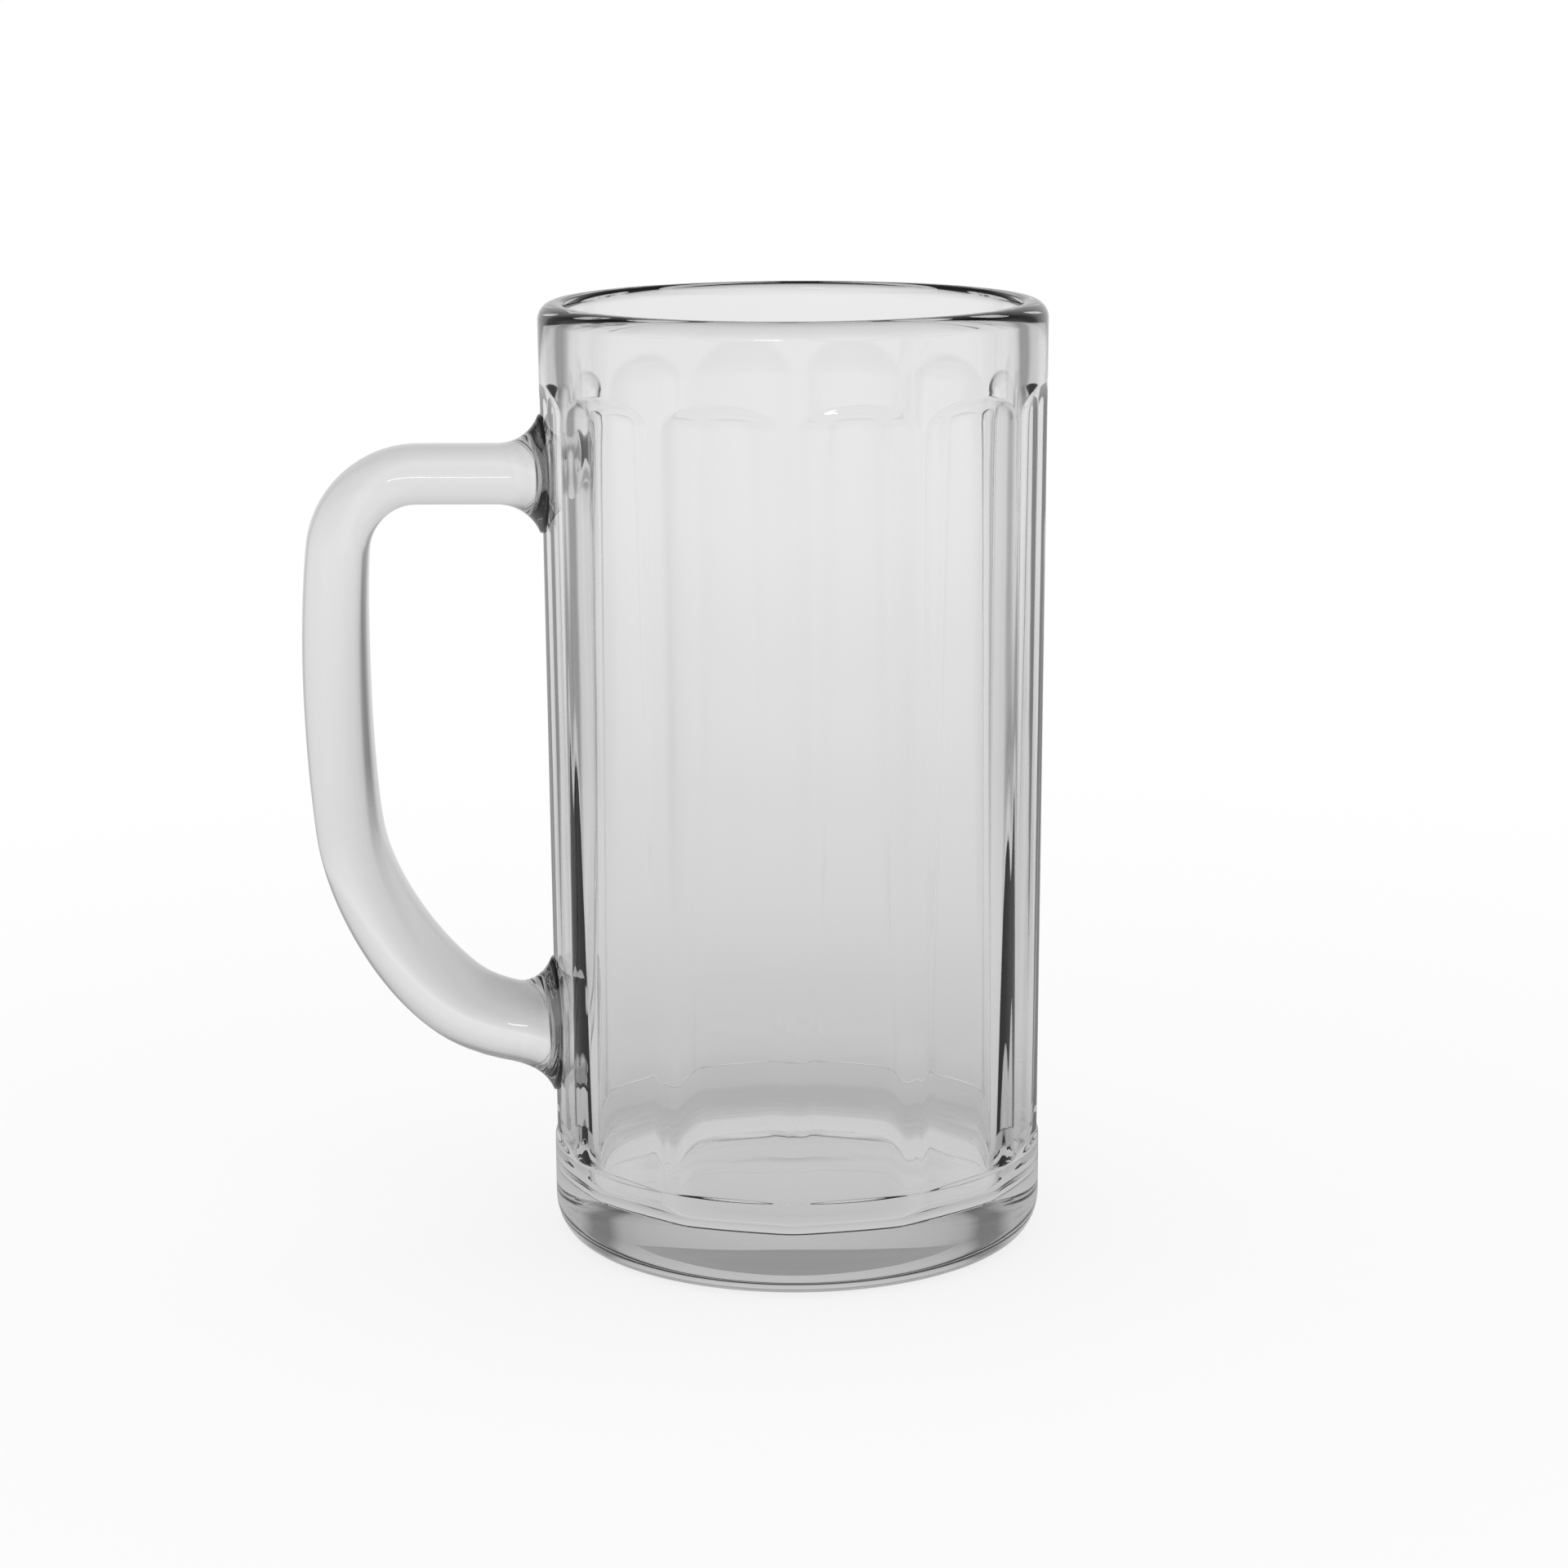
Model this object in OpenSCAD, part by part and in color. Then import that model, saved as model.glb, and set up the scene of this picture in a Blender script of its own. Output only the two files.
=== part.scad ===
// Faceted glass beer mug: a pressed tumbler with twelve arched panels outside and twelve flats inside,
// and an ear stuck on hot.
// Millimetres, +Z up. The mug stands on Z = 0, its axis is the Z axis, the ear points to -X.

/* [Body] */
// Height of the mug, base to lip
mug_h = 160; // [130:1:200]
// Outside diameter at the lip
rim_d = 85; // [72:0.5:110]
// Diameter of the foot band
foot_d = 84; // [72:0.5:110]
// Height of the foot band
foot_h = 16.5; // [10:0.5:28]
// Step from the foot band in to the round lands above it
foot_step = 0.3; // [0.1:0.05:2]
// Rounding on the foot band's upper edge
foot_edge_r = 0.2; // [0.1:0.05:1]
// Width of the rounding under the foot
heel_w = 4.2; // [1:0.1:8]
// Height of the rounding under the foot
heel_h = 6.2; // [1:0.1:9]

/* [Lip] */
// Thickness of the wall just under the lip
lip_wall = 4.5; // [3:0.1:7]
// How far the crest of the lip lies in from the outside
lip_out_w = 3.2; // [1:0.1:3.6]
// Height of the rounding on the outside of the lip
lip_out_h = 3.6; // [1:0.1:8]
// Height of the rounding on the inside of the lip
lip_in_h = 1.3; // [0.6:0.1:6]

/* [Panels] */
// Number of flat panels round the body
panels = 12; // [8:2:16]
// Width of the round land left between two panels
land_w = 2.7; // [1:0.1:6]
// Depth of the panels' arch crowns below the lip
arch_drop = 13; // [8:0.1:40]
// Height of the slope that runs a panel out into the rim band
arch_h = 3; // [1:0.1:8]

/* [Inside] */
// Glass at the middle of the base, from the table to the inner floor
floor_t = 9.3; // [7:0.1:18]
// Diameter of the flat inner floor
floor_d = 66; // [50:0.5:72]
// Inside diameter over the corners of the flats, low in the well
well_d = 72.8; // [60:0.1:84]
// Inside size across two opposite flats, low in the well
well_flat = 71; // [58:0.1:82]
// Depth below the lip at which the inside flats run out into the round
well_fade = 17; // [6:0.5:60]
// Rounding between the inner floor and the wall
floor_fillet_r = 5.2; // [2:0.1:14]

/* [Underside] */
// Inner diameter of the ring that the mug stands on
ring_d = 55; // [40:0.5:72]
// Depth of the hollow inside that ring
hollow_h = 1.2; // [0.5:0.1:4]

/* [Ear] */
// Depth of the upper arm's middle below the lip
arm_drop = 28.9; // [22:0.1:60]
// Reach of the upper corner, out from the wall
corner_out = 33.6; // [26:0.1:48]
// Reach of the bow in the grip, out from the wall
bow_out = 37.3; // [28:0.1:54]
// Drop of the bow below the upper arm
bow_drop = 36.8; // [24:0.1:50]
// Reach of the lower corner, out from the wall
bend_out = 32.3; // [24:0.1:46]
// Height of the lower corner above the table
bend_z = 50.8; // [42:0.1:66]
// Reach of the knee where the lower arm turns to the wall
knee_out = 7.9; // [6:0.1:14]
// Height of that knee above the table
knee_z = 33.2; // [28:0.1:42]
// Height of the lower root's middle on the wall
root_z = 35.2; // [30:0.1:44]
// Rounding of the upper corner along the middle line
corner_r = 13.8; // [9:0.1:20]
// Rounding of the bow
bow_r = 213; // [80:1:400]
// Rounding of the lower corner
bend_r = 44.6; // [20:0.1:60]
// Rounding of the knee
knee_r = 23.7; // [10:0.1:40]

/* [Ear section] */
// Width of the ear from side to side
ear_w = 16; // [11:0.1:24]
// Thickness of the upper arm
arm_t = 10.2; // [7:0.1:16]
// Thickness of the grip
grip_t = 11.5; // [7:0.1:18]
// Thickness of the lower arm
foot_arm_t = 13.8; // [8:0.1:20]
// Length of the upper arm before it starts to thicken
arm_run = 22; // [10:0.5:30]
// Place along the ear where the grip has its full thickness
grip_from = 66; // [40:0.5:72]
// Place along the ear where the grip starts to thicken again
grip_to = 84; // [74:0.5:100]
// Place along the ear where the lower arm has its full thickness
foot_arm_from = 124; // [104:0.5:134]
// Fullness of the section, from 2 for an ellipse up to 4 for a rounded block
fullness = 2.4; // [2:0.1:4]
// Rounding of the roots where they spread on the wall
root_r = 7.5; // [3:0.1:12]
// Height at which that rounding stops short of the wall
root_lip = 1; // [0.5:0.1:2.5]
// Clearance between the ear and the wall that it is stuck to
weld_gap = 0.02; // [0:0.01:0.2]

/* [Hidden] */
$fn = 96;
rim_r = rim_d / 2;
foot_r = foot_d / 2;
waist_r = foot_r - foot_step;
ring_r = ring_d / 2;
floor_r = floor_d / 2;
well_r = well_d / 2;
arch_z = mug_h - arch_drop;
arm_z = mug_h - arm_drop;
fade_z = mug_h - well_fade;
arc_steps = 8;
half_step = 180 / panels;
// How far a cutter reaches past the surface that it cuts
past = 3;
// How far the ear's middle line runs on inside the wall before it is cut
sink = 7;
ear_sides = 24;
ear_arc_steps = 12;
root_steps = 7;
// How much closer the stations lie near the wall
root_crowd = 1.5;
// The wall falls away from the ear's middle towards its sides
side_fall = ear_w / 2 * tan(half_step);

// Radius of the round lands at a height
function land_r(z) = waist_r + (rim_r - waist_r) * (z - foot_h) / (mug_h - foot_h);

// Distance of a panel's flat from the axis, for lands of the stated width
function flat_r(z) = land_r(z) * cos(half_step - asin(land_w / 2 / land_r(z)));

// Points of a quarter ellipse about a centre, from angle a to angle b
function quarter(c, w, h, a, b) =
    [for (k = [0:arc_steps]) let(t = a + (b - a) * k / arc_steps) c + [w * cos(t), h * sin(t)]];

// Outside of the body, from the middle of the base up to the lip's crest
edge_r = min(foot_edge_r, foot_step);
outer_line = concat(
    [for (k = [0:arc_steps]) let(u = k / arc_steps) [ring_r * u, hollow_h * (1 - u * u)]],
    quarter([foot_r - heel_w, heel_h], heel_w, heel_h, -90, 0),
    quarter([foot_r - edge_r, foot_h - edge_r], edge_r, edge_r, 0, 90),
    edge_r < foot_step ? [[waist_r, foot_h]] : [],
    quarter([rim_r - lip_out_w, mug_h - lip_out_h], lip_out_w, lip_out_h, 0, 90)
);

// Inside of the body, from the lip's crest down to the middle of the floor
in_r = rim_r - lip_wall;
lip_in_w = lip_wall - lip_out_w;
fillet_r = max(floor_fillet_r, well_r - floor_r);
fillet_turn = acos(1 - (well_r - floor_r) / fillet_r);
fillet_z = floor_t + fillet_r * sin(fillet_turn);
inner_line = concat(
    quarter([rim_r - lip_out_w, mug_h - lip_in_h], -lip_in_w, lip_in_h, 90, 0),
    quarter([well_r - fillet_r, fillet_z], fillet_r, fillet_r, 0, -fillet_turn),
    [[0, floor_t]]
);

// Inside radius of the round at a height, and distance of the inside flats from the axis
function round_r(z) = well_r + (in_r - well_r) * (z - fillet_z) / (mug_h - lip_in_h - fillet_z);
function well_flat_r(z) = well_flat / 2
    + (round_r(fade_z) - well_flat / 2) * (z - fillet_z) / (fade_z - fillet_z);

// One panel cutter: the flat, and the slope that runs it out into the rim band
module panel_cut(grow) {
    spring_z = arch_z - arch_h;
    reach = max(rim_r, foot_r) + past;
    rotate([90, 0, 0])
        translate([0, 0, -reach / 2])
            linear_extrude(reach)
                polygon([
                    [flat_r(foot_h) + grow, foot_h],
                    [flat_r(spring_z) + grow, spring_z],
                    [land_r(arch_z) + grow, arch_z],
                    [reach, arch_z],
                    [reach, foot_h]
                ]);
}

module panel_cuts(grow) {
    for (k = [0:panels - 1]) rotate([0, 0, half_step * (2 * k + 1)]) panel_cut(grow);
}

// What the plunger's flats leave standing beyond one of its twelve sides
module well_side() {
    reach = in_r + past;
    low_z = floor_t - past;
    rotate([90, 0, 0])
        translate([0, 0, -reach / 2])
            linear_extrude(reach)
                polygon([
                    [well_flat_r(low_z), low_z],
                    [well_flat_r(fade_z), fade_z],
                    [reach, fade_z],
                    [reach, low_z]
                ]);
}

// The well that the plunger makes: round at the lip, twelve flats below, a round-edged floor
module well() {
    difference() {
        rotate_extrude() polygon(concat(inner_line, [[0, mug_h + past], [rim_r - lip_out_w, mug_h + past]]));
        for (k = [0:panels - 1]) rotate([0, 0, half_step * (2 * k + 1)]) well_side();
    }
}

module tumbler() {
    color([0.86, 0.92, 0.93, 0.5])
    difference() {
        rotate_extrude() polygon(concat(outer_line, [[0, mug_h]]));
        panel_cuts(0);
        well();
    }
}

// The form that the ear is stuck to: the faceted wall, grown by the weld's clearance
module wall_form() {
    difference() {
        translate([0, 0, foot_h])
            cylinder(h = mug_h - foot_h, r1 = waist_r + weld_gap, r2 = rim_r + weld_gap);
        panel_cuts(weld_gap);
    }
}

// Corners of the ear's middle line in the X-Z plane, with the rounding of each
top_r = land_r(arm_z);
low_r = land_r(root_z);
low_run = [knee_out, root_z - knee_z];
route = [
    [-top_r + sink, arm_z],
    [-top_r - corner_out, arm_z],
    [-top_r - bow_out, arm_z - bow_drop],
    [-low_r - bend_out, bend_z],
    [-low_r - knee_out, knee_z],
    [-low_r, root_z] + low_run / norm(low_run) * sink
];
bends = [0, corner_r, bow_r, bend_r, knee_r, 0];
last = len(route) - 1;

function unit(v) = v / norm(v);
function run(i) = route[i + 1] - route[i];
function turn(i) = i == 0 || i == last ? 0
    : acos(min(1, unit(run(i - 1)) * unit(run(i))));
function wish(i) = bends[i] * tan(turn(i) / 2);
// A rounding is limited where two of them share a run that is too short
function ease(i) = min(1,
    norm(run(i - 1)) / max(root_lip, wish(i - 1) + wish(i)),
    norm(run(i)) / max(root_lip, wish(i) + wish(i + 1)));
function side(i) = cross(unit(run(i - 1)), unit(run(i))) < 0 ? -1 : 1;
function left(v) = [-v[1], v[0]];

// Stations round one corner, each a point and its direction
function corner(i) =
    let(r = bends[i] * ease(i), d = unit(run(i - 1)), n = left(d) * side(i),
        start = route[i] - d * r * tan(turn(i) / 2))
    [for (k = [0:ear_arc_steps]) let(a = turn(i) * k / ear_arc_steps)
        [start + d * r * sin(a) + n * r * (1 - cos(a)), d * cos(a) + n * sin(a)]];

// Stations close together where the upper root spreads on the wall
upper_root = [for (k = [-2:root_steps])
    let(out = k == -2 ? -sink : k == -1 ? -side_fall : root_r * pow(k / root_steps, root_crowd))
    [[-top_r - out, arm_z], unit(run(0))]];

stations = concat(
    upper_root,
    [for (i = [1:last - 1]) each corner(i)],
    [[route[last], unit(run(last - 1))]]
);
count = len(stations);

// Length along the ear at each station, from the wall
lengths = [for (i = 0, s = -sink; i < count; i = i + 1,
    s = s + (i < count ? norm(stations[i][0] - stations[i - 1][0]) : 0)) s];

// Thickness along the ear: upper arm, grip, lower arm, eased from one to the next
function smooth(s, a, b) = let(v = max(0, min(1, (s - a) / (b - a)))) v * v * (3 - 2 * v);
function ear_t(s) = arm_t + (grip_t - arm_t) * smooth(s, arm_run, grip_from)
    + (foot_arm_t - grip_t) * smooth(s, grip_to, foot_arm_from);

// Spread of a root at a height above the wall
function spread(h) = h >= root_r ? 0
    : root_r - sqrt(pow(root_r, 2) - pow(root_r - max(h, root_lip), 2));

function power(v) = sign(v) * pow(abs(v), 2 / fullness);

function ring(i) =
    let(p = stations[i][0], n = left(stations[i][1]), h = -p[0] - land_r(p[1]),
        t = ear_t(lengths[i]) / 2, w = ear_w / 2 + spread(h + side_fall))
    [for (k = [0:ear_sides - 1])
        let(a = 360 * k / ear_sides, v = power(cos(a)),
            out = v * (t + spread(h - n[0] * t * sign(v))))
        [p[0] + n[0] * out, w * power(sin(a)), p[1] + n[1] * out]];

module ear_sweep() {
    points = [for (i = [0:count - 1]) each ring(i)];
    walls = [for (i = [0:count - 2], k = [0:ear_sides - 1])
        let(a = i * ear_sides + k, b = i * ear_sides + (k + 1) % ear_sides,
            c = a + ear_sides, d = b + ear_sides)
        each [[a, b, d], [a, d, c]]];
    caps = [
        [for (k = [ear_sides - 1:-1:0]) k],
        [for (k = [0:ear_sides - 1]) (count - 1) * ear_sides + k]
    ];
    polyhedron(points, concat(walls, caps));
}

module handle() {
    color([0.80, 0.88, 0.90, 0.6])
    difference() {
        ear_sweep();
        wall_form();
    }
}

tumbler();
handle();
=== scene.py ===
import math

import bmesh
import bpy
from mathutils import Matrix, Vector


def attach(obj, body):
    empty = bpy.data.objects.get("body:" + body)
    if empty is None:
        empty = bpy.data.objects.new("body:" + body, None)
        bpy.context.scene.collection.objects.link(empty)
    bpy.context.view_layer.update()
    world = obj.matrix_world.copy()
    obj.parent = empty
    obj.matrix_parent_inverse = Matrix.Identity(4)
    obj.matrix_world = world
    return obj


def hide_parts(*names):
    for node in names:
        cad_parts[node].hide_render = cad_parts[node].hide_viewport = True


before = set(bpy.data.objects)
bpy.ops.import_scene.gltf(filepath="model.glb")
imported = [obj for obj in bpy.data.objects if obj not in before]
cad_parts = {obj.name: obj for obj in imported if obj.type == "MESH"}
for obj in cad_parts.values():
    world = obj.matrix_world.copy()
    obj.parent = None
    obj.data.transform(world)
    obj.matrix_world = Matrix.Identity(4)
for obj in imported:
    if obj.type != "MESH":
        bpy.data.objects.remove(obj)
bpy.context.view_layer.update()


# The camera. It stands about 0.6 m in front of the mug with a long lens, a little above the rim,
# and looks down on it by some 12 degrees, with the ear square to the left.
eye_place = (0.0143, -0.6195, 0.2129)
eye_tilt_down = 12.31
eye_turn_left = 1.50
eye_roll = -0.32
eye_lens = 85.2

eye = bpy.data.cameras.new("eye")
eye.lens = eye_lens
eye_object = bpy.data.objects.new("eye", eye)
eye_object.matrix_world = (
    Matrix.Translation(eye_place)
    @ Matrix.Rotation(math.radians(eye_turn_left), 4, "Z")
    @ Matrix.Rotation(math.radians(90 - eye_tilt_down), 4, "X")
    @ Matrix.Rotation(math.radians(eye_roll), 4, "Z")
)
bpy.context.collection.objects.link(eye_object)
bpy.context.scene.camera = eye_object
bpy.context.scene.view_settings.view_transform = "Standard"
bpy.context.scene.cycles.max_bounces = 32
bpy.context.scene.cycles.transmission_bounces = 32


# The tumbler. It is one thick pressing of clear glass: the mould makes the plain rim band, the
# plain foot band and twelve flat panels with arched tops, and the plunger twelve flats on the inside.
# The lip is fire polished, so it is a soft round bead, and all the moulded edges are a little soft.
mm = 0.001
mug_height = 160.0
rim_radius = 42.5
foot_radius = 42.0
foot_height = 16.5
foot_step = 0.3
ledge_softness = 0.16
heel_width = 4.2
heel_height = 6.2
lip_wall = 4.5
lip_width_outside, lip_height_outside = 2.7, 3.0
lip_rounding_inside = 1.25
ring_radius = 27.5
ring_softness = 1.5
hollow_height = 0.6
floor_height = 9.3
floor_radius = 33.0
well_radius = 36.4
floor_rise = 1.05
floor_rounding = 3.5
seam_width, seam_depth, seam_reach = 0.6, 0.06, 0.9
well_flat_low, well_flat_high = 35.5, 38.1
inner_softness = 0.4
well_fade = 17.0
panel_count = 12
land_width = 2.7
arch_crown = 147.0
arch_height = 4.2
ridge_softness = 0.22
arch_softness = 0.12
columns_per_panel = 40
column_crowding = 0.6
first_land_row = foot_height + 1.2
arch_rows_low, arch_rows_high = arch_crown - 4.6, arch_crown + 1.2
fade_rows_low, fade_rows_high = 123.0, 153.0

waist_radius = foot_radius - foot_step
wall_middle = rim_radius - 3


def land_radius(height):
    """Radius of the round lands between the panels at a height."""
    return waist_radius + (rim_radius - waist_radius) * (height - foot_height) / (mug_height - foot_height)


def soft_least(a, b, softness):
    """The lesser of two sizes, with the corner between them rounded off."""
    share = min(1.0, max(0.0, 0.5 + 0.5 * (b - a) / softness))
    return b + (a - b) * share - softness * share * (1 - share)


def flat_distance(height):
    """Distance of a panel from the axis, out to the slope that ends it under its arch."""
    spring = arch_crown - arch_height
    half_panel = math.pi / panel_count - math.asin(land_width / 2 / land_radius(spring))
    flat = land_radius(height) * math.cos(half_panel)
    reach = land_radius(arch_crown) - land_radius(arch_crown) * math.cos(half_panel)
    return flat + reach * max(0.0, (height - spring) / arch_height) ** 2


def wall_radius(angle, height):
    """Radius of the body's outside where the panels are, at an angle round the axis and a height."""
    step = 2 * math.pi / panel_count
    off = angle % step - step / 2
    softness = ridge_softness if height < arch_crown - arch_height else arch_softness
    return soft_least(land_radius(height), flat_distance(height) / math.cos(off), softness)


def well_line(height):
    """Radius of the round of the inside at a height."""
    climb = (height - floor_height) / (mug_height - floor_height)
    return well_radius + (rim_radius - lip_wall - well_radius) * climb


def inside_share(angle, height):
    """How far the plunger's flats pull the inside of the wall in from its round, as a share."""
    climb = (height - floor_height) / (mug_height - floor_height)
    round_radius = well_line(height)
    flat = well_flat_low + (well_flat_high - well_flat_low) * climb
    step = 2 * math.pi / panel_count
    off = angle % step - step / 2
    pull = 1 - soft_least(round_radius, flat / math.cos(off), inner_softness) / round_radius
    fade = min(1.0, max(0.0, (mug_height - 7 - height) / well_fade))
    return 1 - pull * fade * fade * (3 - 2 * fade)


body = bmesh.new()
# radius, height, rounding of that corner, and the number of steps in the rounding
turned = [(ring_radius * k / 8, hollow_height * (1 - (k / 8) ** 2), 0, 0) for k in range(8)]
turned += [
    (ring_radius, 0, ring_softness, 8),
    (foot_radius, 0, heel_width, 12),
    (foot_radius, foot_height - 2 * ledge_softness, 0, 0),
    (waist_radius, foot_height + 2 * ledge_softness, 0, 0),
    (land_radius(first_land_row), first_land_row, 0, 0),
    (land_radius(arch_rows_low), arch_rows_low, 0, 0),
    (land_radius(arch_rows_high), arch_rows_high, 0, 0),
    (rim_radius, mug_height, lip_width_outside - 0.02, 14),
    (rim_radius - lip_wall, mug_height, lip_rounding_inside - 0.02, 8),
    (well_line(fade_rows_high), fade_rows_high, 0, 0),
    (well_line(fade_rows_low), fade_rows_low, 0, 0),
    (well_radius, floor_height + floor_rise, floor_rounding, 16),
    (floor_radius + seam_reach, floor_height + 0.28, 0, 0),
    (floor_radius + seam_width / 2, floor_height + 0.12, 0, 0),
    (floor_radius, floor_height - seam_depth, 0, 0),
    (floor_radius - seam_width / 2, floor_height, 0, 0),
    (floor_radius - seam_reach, floor_height, 0, 0),
    (floor_radius - 6, floor_height, 0, 0),
    (0, floor_height, 0, 0),
]
outline = [body.verts.new((r * mm, 0, z * mm)) for r, z, rounding, steps in turned]
for a, b in zip(outline, outline[1:]):
    body.edges.new((a, b))
for vert, (r, z, rounding, steps) in zip(outline, turned):
    if rounding:
        bmesh.ops.bevel(body, geom=[vert], offset=rounding * mm, offset_type="OFFSET",
                        affect="VERTICES", segments=steps, profile=0.5, material=-1)


def outline_edges(low, high):
    """Edges of the outside outline of the body that climb between two heights."""
    return [e for e in body.edges
            if all(low - 0.01 < v.co.z / mm < high + 0.01 and v.co.x / mm > wall_middle for v in e.verts)
            and abs(e.verts[0].co.z - e.verts[1].co.z) > 0.4 * mm]


bmesh.ops.subdivide_edges(body, edges=outline_edges(foot_height - 0.4, foot_height + 0.4), cuts=20)
bmesh.ops.subdivide_edges(body, edges=outline_edges(first_land_row, arch_rows_low), cuts=14)
bmesh.ops.subdivide_edges(body, edges=outline_edges(arch_rows_low, arch_rows_high), cuts=28)
inside_wall = [e for e in body.edges if e.calc_length() > 60 * mm]
bmesh.ops.subdivide_edges(body, edges=inside_wall, cuts=14)
inside_top = [e for e in body.edges
              if all(fade_rows_low - 1 < v.co.z / mm < fade_rows_high + 1 and v.co.x / mm < wall_middle
                     for v in e.verts)]
bmesh.ops.subdivide_edges(body, edges=inside_top, cuts=30)
for vert in body.verts:
    if vert.co.x / mm > foot_radius - heel_width and vert.co.z / mm < heel_width + 0.01:
        vert.co.z *= heel_height / heel_width
    below_lip = mug_height - vert.co.z / mm
    if below_lip < lip_width_outside and vert.co.x / mm > rim_radius - lip_width_outside:
        vert.co.z = (mug_height - below_lip * lip_height_outside / lip_width_outside) * mm
bmesh.ops.spin(body, geom=body.verts[:] + body.edges[:], cent=(0, 0, 0), axis=(0, 0, 1),
               dvec=(0, 0, 0), angle=2 * math.pi, steps=panel_count * columns_per_panel, use_merge=True)
bmesh.ops.remove_doubles(body, verts=body.verts[:], dist=0.0005 * mm)
for vert in body.verts:
    radius = math.hypot(vert.co.x, vert.co.y) / mm
    height = vert.co.z / mm
    angle = math.atan2(vert.co.y, vert.co.x)
    if radius < 0.001:
        continue
    angle -= column_crowding / panel_count * math.sin(panel_count * angle)
    on_wall = radius > land_radius(height) - 0.2
    if on_wall and foot_height - 2.1 * ledge_softness < height < arch_crown + 1.5:
        above_ledge = (height - foot_height) / ledge_softness
        step = 1 / (1 + math.exp(-4 * above_ledge))
        radius = foot_radius + (wall_radius(angle, height) - foot_radius) * step
    elif floor_height - 0.6 < height < mug_height - 5 and radius < wall_middle:
        radius *= inside_share(angle, height)
    vert.co.x = radius * math.cos(angle) * mm
    vert.co.y = radius * math.sin(angle) * mm
bmesh.ops.recalc_face_normals(body, faces=body.faces[:])
for face in body.faces:
    face.smooth = True
body_mesh = bpy.data.meshes.new("tumbler_glass")
body.to_mesh(body_mesh)
body.free()
tumbler = bpy.data.objects.new("tumbler_glass", body_mesh)
bpy.context.collection.objects.link(tumbler)


def clear_glass(name):
    """Clear soda-lime glass, a little grey in its depth, with the faint waviness of hot-formed glass."""
    glass = bpy.data.materials.new(name)
    glass.use_nodes = True
    nodes, links = glass.node_tree.nodes, glass.node_tree.links
    skin = nodes["Principled BSDF"]
    skin.inputs["Base Color"].default_value = (1, 1, 1, 1)
    skin.inputs["Transmission Weight"].default_value = 1.0
    skin.inputs["IOR"].default_value = 1.52
    skin.inputs["Roughness"].default_value = 0.0
    where = nodes.new("ShaderNodeTexCoord")
    chill = nodes.new("ShaderNodeTexNoise")
    chill.inputs["Scale"].default_value = 38.0
    chill.inputs["Detail"].default_value = 1.5
    links.new(where.outputs["Object"], chill.inputs["Vector"])
    waves = nodes.new("ShaderNodeBump")
    waves.inputs["Strength"].default_value = 0.05
    waves.inputs["Distance"].default_value = 0.002
    links.new(chill.outputs["Fac"], waves.inputs["Height"])
    links.new(waves.outputs["Normal"], skin.inputs["Normal"])
    depth = nodes.new("ShaderNodeVolumeAbsorption")
    depth.inputs["Color"].default_value = (0.608, 0.614, 0.610, 1)
    depth.inputs["Density"].default_value = 12.0
    links.new(depth.outputs["Volume"], nodes["Material Output"].inputs["Volume"])
    return glass


def grey_steps(ramp, steps):
    """Gives a ramp its stops from pairs of a place along it and a grey level."""
    while len(ramp.elements) < len(steps):
        ramp.elements.new(0.5)
    for stop, (place, level) in zip(ramp.elements, steps):
        stop.position = place
        stop.color = (level, level, level, 1)


pressed = clear_glass("pressed_clear_glass")
nodes, links = pressed.node_tree.nodes, pressed.node_tree.links
# the bearing ring is stippled, as such bases are, so that a wet mug does not stick
where = nodes.new("ShaderNodeTexCoord")
grain = nodes.new("ShaderNodeTexNoise")
grain.inputs["Scale"].default_value = 700.0
grain.inputs["Detail"].default_value = 2.0
links.new(where.outputs["Object"], grain.inputs["Vector"])
flat = nodes.new("ShaderNodeVectorMath")
flat.operation = "MULTIPLY"
flat.inputs[1].default_value = (1, 1, 20)
links.new(where.outputs["Object"], flat.inputs[0])
out_from = nodes.new("ShaderNodeVectorMath")
out_from.operation = "LENGTH"
links.new(flat.outputs["Vector"], out_from.inputs[0])
on_ring = nodes.new("ShaderNodeValToRGB")
steps = [(0, 0), (28.5, 0), (29.5, 0.3), (37.0, 0.3), (38.0, 0)]
grey_steps(on_ring.color_ramp, [(millimetres * mm * 10, level) for millimetres, level in steps])
ten = nodes.new("ShaderNodeMath")
ten.operation = "MULTIPLY"
ten.inputs[1].default_value = 10.0
links.new(out_from.outputs["Value"], ten.inputs[0])
links.new(ten.outputs["Value"], on_ring.inputs["Fac"])
stipple = nodes.new("ShaderNodeBump")
stipple.inputs["Distance"].default_value = 0.0005
links.new(on_ring.outputs["Color"], stipple.inputs["Strength"])
links.new(grain.outputs["Fac"], stipple.inputs["Height"])
links.new(nodes["Bump"].outputs["Normal"], stipple.inputs["Normal"])
links.new(stipple.outputs["Normal"], nodes["Principled BSDF"].inputs["Normal"])
body_mesh.materials.append(pressed)
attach(tumbler, "root")
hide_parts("tumbler")


# The ear. It is a rod of the same clear glass, drawn out and bent into a D while hot, then stuck on
# the finished wall at both ends, where the soft glass spreads into a flared root on the panels.
ear_sides = 64
ear_width = 16.0
ear_fullness = 2.0
arm_thickness, grip_thickness, foot_arm_thickness = 10.2, 11.5, 13.8
root_rounding = 7.5
root_edge = 0.45
root_sideways = 0.3
weld_depth = 0.06
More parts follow.
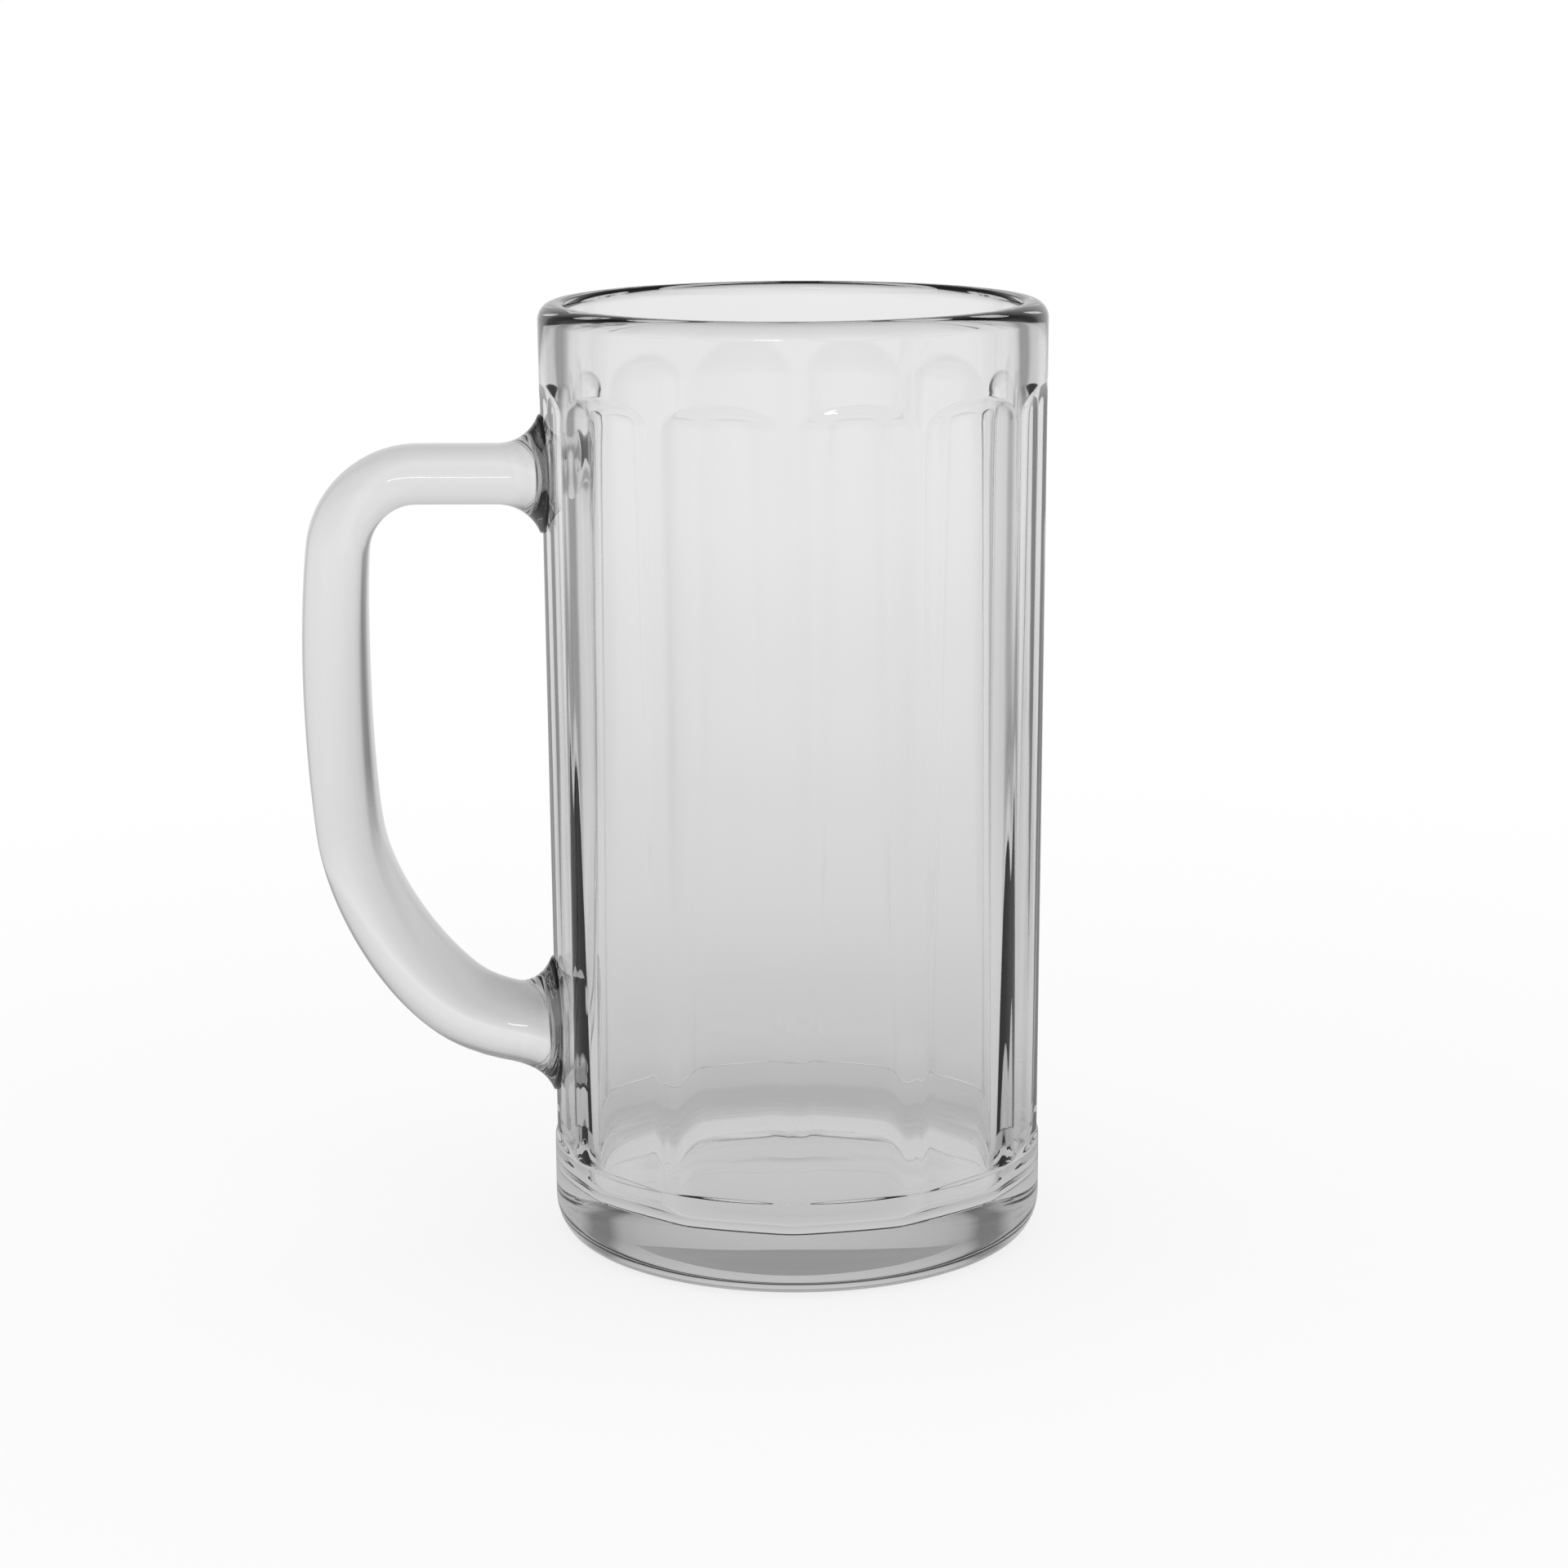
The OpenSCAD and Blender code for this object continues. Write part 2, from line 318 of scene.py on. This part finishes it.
# corners of the ear's middle line: X, Z, and the length of rounding along each leg
ear_corners = [
    (-35.3, 131.1, 0),
    (-75.9, 131.1, 12.4),
    (-79.6, 94.3, 24.5),
    (-74.1, 50.8, 19.2),
    (-49.7, 33.2, 10.8),
    (-35.0, 36.9, 0),
]
line = bmesh.new()
bends = [line.verts.new((x * mm, 0, z * mm)) for x, z, rounding in ear_corners]
for a, b in zip(bends, bends[1:]):
    line.edges.new((a, b))
first = bends[0]
for vert, (x, z, rounding) in zip(bends, ear_corners):
    if rounding:
        bmesh.ops.bevel(line, geom=[vert], offset=rounding * mm, offset_type="OFFSET",
                        affect="VERTICES", segments=28, profile=0.5, material=-1)
path = [first.co / mm]
walked, here = set(), first
while True:
    ways = [e for e in here.link_edges if e not in walked]
    if not ways:
        break
    walked.add(ways[0])
    here = ways[0].other_vert(here)
    path.append(here.co / mm)
line.free()
lengths = [0.0]
for a, b in zip(path, path[1:]):
    lengths.append(lengths[-1] + (b - a).length)


def along(length):
    """Point and direction on the ear's middle line at a length from its inner end."""
    k = max(i for i in range(len(path) - 1) if lengths[i] <= length or i == 0)
    share = (length - lengths[k]) / (lengths[k + 1] - lengths[k])
    point = path[k].lerp(path[k + 1], share)
    before = (path[k + 1] - path[max(0, k - 1)]).normalized()
    after = (path[min(len(path) - 1, k + 2)] - path[k]).normalized()
    return point, before.lerp(after, share).normalized()


def wall_ahead(point, way):
    """Distance from a point along a direction to the outside of the body's wall."""
    low, high = -12.0, 40.0
    for step in range(40):
        middle = (low + high) / 2
        place = point + way * middle
        inside = math.hypot(place.x, place.y) < wall_radius(math.atan2(place.y, place.x), place.z)
        low, high = (low, middle) if inside else (middle, high)
    return (low + high) / 2


def eased(value, start, end):
    """A smooth climb from 0 at start to 1 at end."""
    share = min(1.0, max(0.0, (value - start) / (end - start)))
    return share * share * (3 - 2 * share)


def root_spread(height):
    """How far a root has spread out at a height above the wall."""
    if height >= root_rounding:
        return 0.0
    low = root_rounding - max(height, root_edge)
    return root_rounding - math.sqrt(root_rounding ** 2 - low ** 2)


top_wall = next(s for s in (k * 0.01 for k in range(4000))
                if -along(s)[0].x > wall_radius(math.pi, along(s)[0].z))
low_wall = next(s for s in (lengths[-1] - k * 0.01 for k in range(4000))
                if -along(s)[0].x > wall_radius(math.pi, along(s)[0].z))
ear_heights = [-weld_depth, 0.15, 0.5, 0.9, 1.4, 2.0, 2.7, 3.5, 4.5, 5.7, 7.0, 8.5, 10.5, 13.0]
middle_count = 84
span = low_wall - top_wall - 2 * ear_heights[-1]
stations = [(top_wall + h, h, 1.0) for h in ear_heights]
clear_of_wall = 99.0
stations += [(top_wall + ear_heights[-1] + span * k / middle_count, clear_of_wall, 1.0)
             for k in range(1, middle_count)]
stations += [(low_wall - h, h, 1.0) for h in reversed(ear_heights)]
caps = [0.82, 0.64, 0.46, 0.28, 0.1]
stations = [(top_wall - weld_depth, -weld_depth, share) for share in reversed(caps)] + stations
stations += [(low_wall + weld_depth, -weld_depth, share) for share in caps]

ear = bmesh.new()
loops = []
for length, height, share in stations:
    centre, way = along(length)
    inward = Vector((-way.z, 0, way.x))
    run = length - top_wall
    thickness = arm_thickness + (grip_thickness - arm_thickness) * eased(run, 22, 66)
    thickness += (foot_arm_thickness - grip_thickness) * eased(run, 84, 124)
    half_thick = (thickness / 2 + root_spread(height)) * share
    half_wide = (ear_width / 2 + root_spread(height) * root_sideways) * share
    to_wall = -way if length < lengths[-1] / 2 else way
    follow = 1 - eased(height, 0, 13.0)
    middle_ahead = wall_ahead(centre, to_wall) if follow else 0
    ring = bmesh.ops.create_circle(ear, cap_ends=False, segments=ear_sides, radius=1.0)["verts"]
    for vert in ring:
        a, b = vert.co.x, vert.co.y
        thick = math.copysign(abs(a) ** (2 / ear_fullness), a) * half_thick
        wide = math.copysign(abs(b) ** (2 / ear_fullness), b) * half_wide
        place = centre + inward * thick + Vector((0, wide, 0))
        if follow:
            place += to_wall * (wall_ahead(place, to_wall) - middle_ahead) * follow
        vert.co = place * mm
    loops.append([e for e in set(e for v in ring for e in v.link_edges)])
for a, b in zip(loops, loops[1:]):
    bmesh.ops.bridge_loops(ear, edges=a + b)
for loop in (loops[0], loops[-1]):
    bmesh.ops.contextual_create(ear, geom=loop)
bmesh.ops.recalc_face_normals(ear, faces=ear.faces[:])
for face in ear.faces:
    face.smooth = True
ear_mesh = bpy.data.meshes.new("ear_glass")
ear.to_mesh(ear_mesh)
ear.free()
handle = bpy.data.objects.new("ear_glass", ear_mesh)
bpy.context.collection.objects.link(handle)
ear_mesh.materials.append(clear_glass("drawn_clear_glass"))
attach(handle, "root")
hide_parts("handle")


# The floor. It is a plain white studio table that runs back out of sight. It glows white to the eye
# further out and keeps the mug's soft shadow close in. To the glass it glows with painted light and shade:
# a painted shadow round the mug's foot, and painted dark bands to each side further out.
floor_size = 3.0
table_reach = 2400
sheet = bmesh.new()
bmesh.ops.create_circle(sheet, cap_ends=True, segments=96, radius=floor_size)
floor_mesh = bpy.data.meshes.new("studio_table")
sheet.to_mesh(floor_mesh)
sheet.free()
table = bpy.data.objects.new("studio_table", floor_mesh)
bpy.context.collection.objects.link(table)


def studio_sides(nodes, links, way):
    """Brightness of the studio round the mug by direction: bright behind, dark to each side in place of a
    dark card, pale beyond. On the table it is painted shade.
    """
    parts = nodes.new("ShaderNodeSeparateXYZ")
    links.new(way, parts.inputs["Vector"])
    turn = nodes.new("ShaderNodeMath")
    turn.operation = "ARCTAN2"
    links.new(parts.outputs["X"], turn.inputs[0])
    links.new(parts.outputs["Y"], turn.inputs[1])
    either = nodes.new("ShaderNodeMath")
    either.operation = "ABSOLUTE"
    links.new(turn.outputs["Value"], either.inputs[0])
    half = nodes.new("ShaderNodeMath")
    half.operation = "DIVIDE"
    half.inputs[1].default_value = math.pi
    links.new(either.outputs["Value"], half.inputs[0])
    cards = nodes.new("ShaderNodeValToRGB")
    steps = [(0, 0.95), (12, 0.92), (20, 0.87), (28, 0.80), (34, 0.68), (39, 0.28), (46, 0.28), (54, 0.70),
             (75, 0.82), (100, 0.78), (115, 0.72), (180, 0.74)]
    grey_steps(cards.color_ramp, [(degrees / 180, level) for degrees, level in steps])
    links.new(half.outputs["Value"], cards.inputs["Fac"])
    return cards.outputs["Color"]


def glass_rays(nodes, links, rays):
    """Is 1 for rays that come through glass or off it, and 0 for others."""
    in_glass = nodes.new("ShaderNodeMath")
    in_glass.operation = "MAXIMUM"
    links.new(rays.outputs["Is Transmission Ray"], in_glass.inputs[0])
    links.new(rays.outputs["Is Glossy Ray"], in_glass.inputs[1])
    return in_glass.outputs["Value"]


white = bpy.data.materials.new("white_table")
white.use_nodes = True
nodes, links = white.node_tree.nodes, white.node_tree.links
nodes.clear()
out = nodes.new("ShaderNodeOutputMaterial")
paper = nodes.new("ShaderNodeBsdfDiffuse")
paper.inputs["Color"].default_value = (0.85, 0.85, 0.85, 1)
where = nodes.new("ShaderNodeTexCoord")
reach = nodes.new("ShaderNodeVectorMath")
reach.operation = "LENGTH"
links.new(where.outputs["Object"], reach.inputs[0])
shadow = nodes.new("ShaderNodeMapRange")
shadow.interpolation_type = "SMOOTHSTEP"
for socket, value in (("From Min", 0.05), ("From Max", 0.45), ("To Min", 0.80), ("To Max", 1.0)):
    shadow.inputs[socket].default_value = value
links.new(reach.outputs["Value"], shadow.inputs["Value"])
glow = nodes.new("ShaderNodeEmission")
glow.inputs["Strength"].default_value = 1.0
seen = nodes.new("ShaderNodeMixShader")
links.new(shadow.outputs["Result"], seen.inputs["Fac"])
links.new(paper.outputs["BSDF"], seen.inputs[1])
links.new(glow.outputs["Emission"], seen.inputs[2])
near = nodes.new("ShaderNodeMath")
near.operation = "DIVIDE"
near.inputs[1].default_value = table_reach * mm
links.new(reach.outputs["Value"], near.inputs[0])
# painted shade seen only by the glass: the table's glow is painted dimmer near the mug, lighter under the
# foot's edge, darkest in a ring of painted shadow just round the foot, and brighter far out
fade = nodes.new("ShaderNodeValToRGB")
steps = [(0, 0.62), (23, 0.62), (28, 0.74), (36, 0.70), (43, 0.56), (50, 0.54), (62, 0.47),
         (110, 0.66), (220, 0.77), (420, 0.83), (800, 0.91), (1200, 0.92), (2200, 0.89)]
grey_steps(fade.color_ramp, [(millimetres / table_reach, level) for millimetres, level in steps])
links.new(near.outputs["Value"], fade.inputs["Fac"])
through = nodes.new("ShaderNodeEmission")
# painted shade seen only by the glass: further out the table's glow is painted with a dark band to each
# side, standing in for dark cards
further = nodes.new("ShaderNodeMapRange")
for socket, value in (("From Min", 0.15), ("From Max", 0.40)):
    further.inputs[socket].default_value = value
links.new(reach.outputs["Value"], further.inputs["Value"])
painted_dark_sides = nodes.new("ShaderNodeMixRGB")
painted_dark_sides.inputs[1].default_value = (0.89, 0.89, 0.89, 1)
links.new(further.outputs["Result"], painted_dark_sides.inputs["Fac"])
links.new(studio_sides(nodes, links, where.outputs["Object"]), painted_dark_sides.inputs[2])
links.new(painted_dark_sides.outputs["Color"], through.inputs["Color"])
links.new(fade.outputs["Color"], through.inputs["Strength"])
rays = nodes.new("ShaderNodeLightPath")
by_glass = nodes.new("ShaderNodeMixShader")
links.new(glass_rays(nodes, links, rays), by_glass.inputs["Fac"])
links.new(paper.outputs["BSDF"], by_glass.inputs[1])
links.new(through.outputs["Emission"], by_glass.inputs[2])
by_eye = nodes.new("ShaderNodeMixShader")
links.new(rays.outputs["Is Camera Ray"], by_eye.inputs["Fac"])
links.new(by_glass.outputs["Shader"], by_eye.inputs[1])
links.new(seen.outputs["Shader"], by_eye.inputs[2])
links.new(by_eye.outputs["Shader"], out.inputs["Surface"])
floor_mesh.materials.append(white)


# The light. A white studio to the eye. The glass sees a bright ground behind it, dark to each side in place
# of a dark card, which draws the dark lines along its edges and on the table is painted shade, and a dark
# ceiling. A small soft box in front gives the highlights on the ear.
world = bpy.data.worlds.new("studio")
bpy.context.scene.world = world
world.use_nodes = True
nodes, links = world.node_tree.nodes, world.node_tree.links
ground = nodes["Background"]
ground.inputs["Color"].default_value = (1, 1, 1, 1)
ground.inputs["Strength"].default_value = 1.0
where = nodes.new("ShaderNodeTexCoord")
cards = nodes.new("ShaderNodeBackground")
links.new(studio_sides(nodes, links, where.outputs["Generated"]), cards.inputs["Color"])
parts = nodes.new("ShaderNodeSeparateXYZ")
links.new(where.outputs["Generated"], parts.inputs["Vector"])
climb = nodes.new("ShaderNodeValToRGB")
steps = [(0, 0.89), (0.10, 0.88), (0.31, 0.78), (0.45, 0.65), (0.55, 0.35)]
grey_steps(climb.color_ramp, steps)
links.new(parts.outputs["Z"], climb.inputs["Fac"])
links.new(climb.outputs["Color"], cards.inputs["Strength"])
rays = nodes.new("ShaderNodeLightPath")
either = nodes.new("ShaderNodeMixShader")
links.new(glass_rays(nodes, links, rays), either.inputs["Fac"])
links.new(ground.outputs["Background"], either.inputs[1])
links.new(cards.outputs["Background"], either.inputs[2])
links.new(either.outputs["Shader"], nodes["World Output"].inputs["Surface"])

softbox = bpy.data.lights.new("front_softbox", "AREA")
softbox.shape = "RECTANGLE"
softbox.size, softbox.size_y = 0.30, 0.09
softbox.energy = 0.7
softbox_object = bpy.data.objects.new("front_softbox", softbox)
softbox_place, softbox_aim = Vector((-0.22, -1.36, 0.31)), Vector((-0.05, 0, 0.12))
softbox_turn = (softbox_place - softbox_aim).to_track_quat("Z", "Y")
softbox_object.matrix_world = Matrix.Translation(softbox_place) @ softbox_turn.to_matrix().to_4x4()
bpy.context.collection.objects.link(softbox_object)
softbox_object.visible_transmission = False
